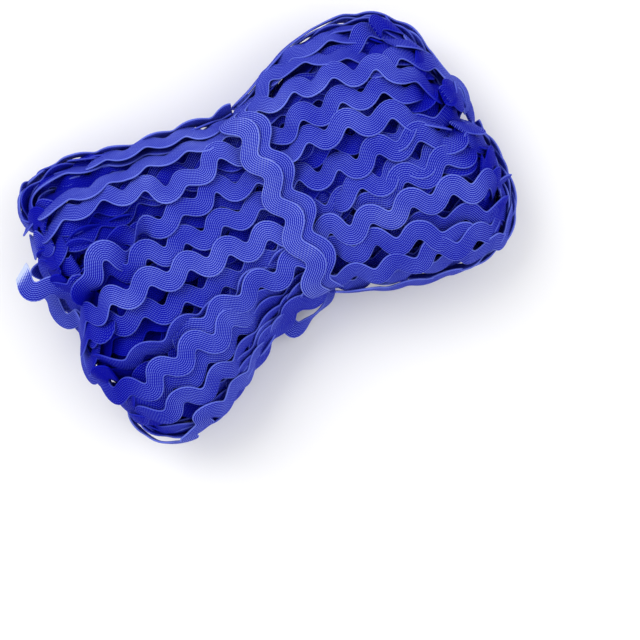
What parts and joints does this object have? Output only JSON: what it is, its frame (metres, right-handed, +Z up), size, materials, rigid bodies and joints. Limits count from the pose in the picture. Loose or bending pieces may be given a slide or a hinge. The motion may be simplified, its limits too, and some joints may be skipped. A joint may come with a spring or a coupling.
{
  "type": "hank of ric rac",
  "caption": "Hank of blue ric rac trimming, wound back and forth and tied round its waist with its own braid, lying flat.",
  "frame": {"origin": "on the surface the hank lies on, under the middle of its bounding box", "axes": "+X along the hank from the lobe with the cut end to the other lobe, +Y across it, +Z up through its thickness"},
  "size_m": [0.1522, 0.0964, 0.0449],
  "materials": {
    "wound_braid": "matte",
    "tie_braid": "matte"
  },
  "bodies": {
    "root": {"hank": "wound_braid", "waist_tie": "tie_braid", "cut_end": "wound_braid", "tie_end": "tie_braid"}
  },
  "joints": []
}
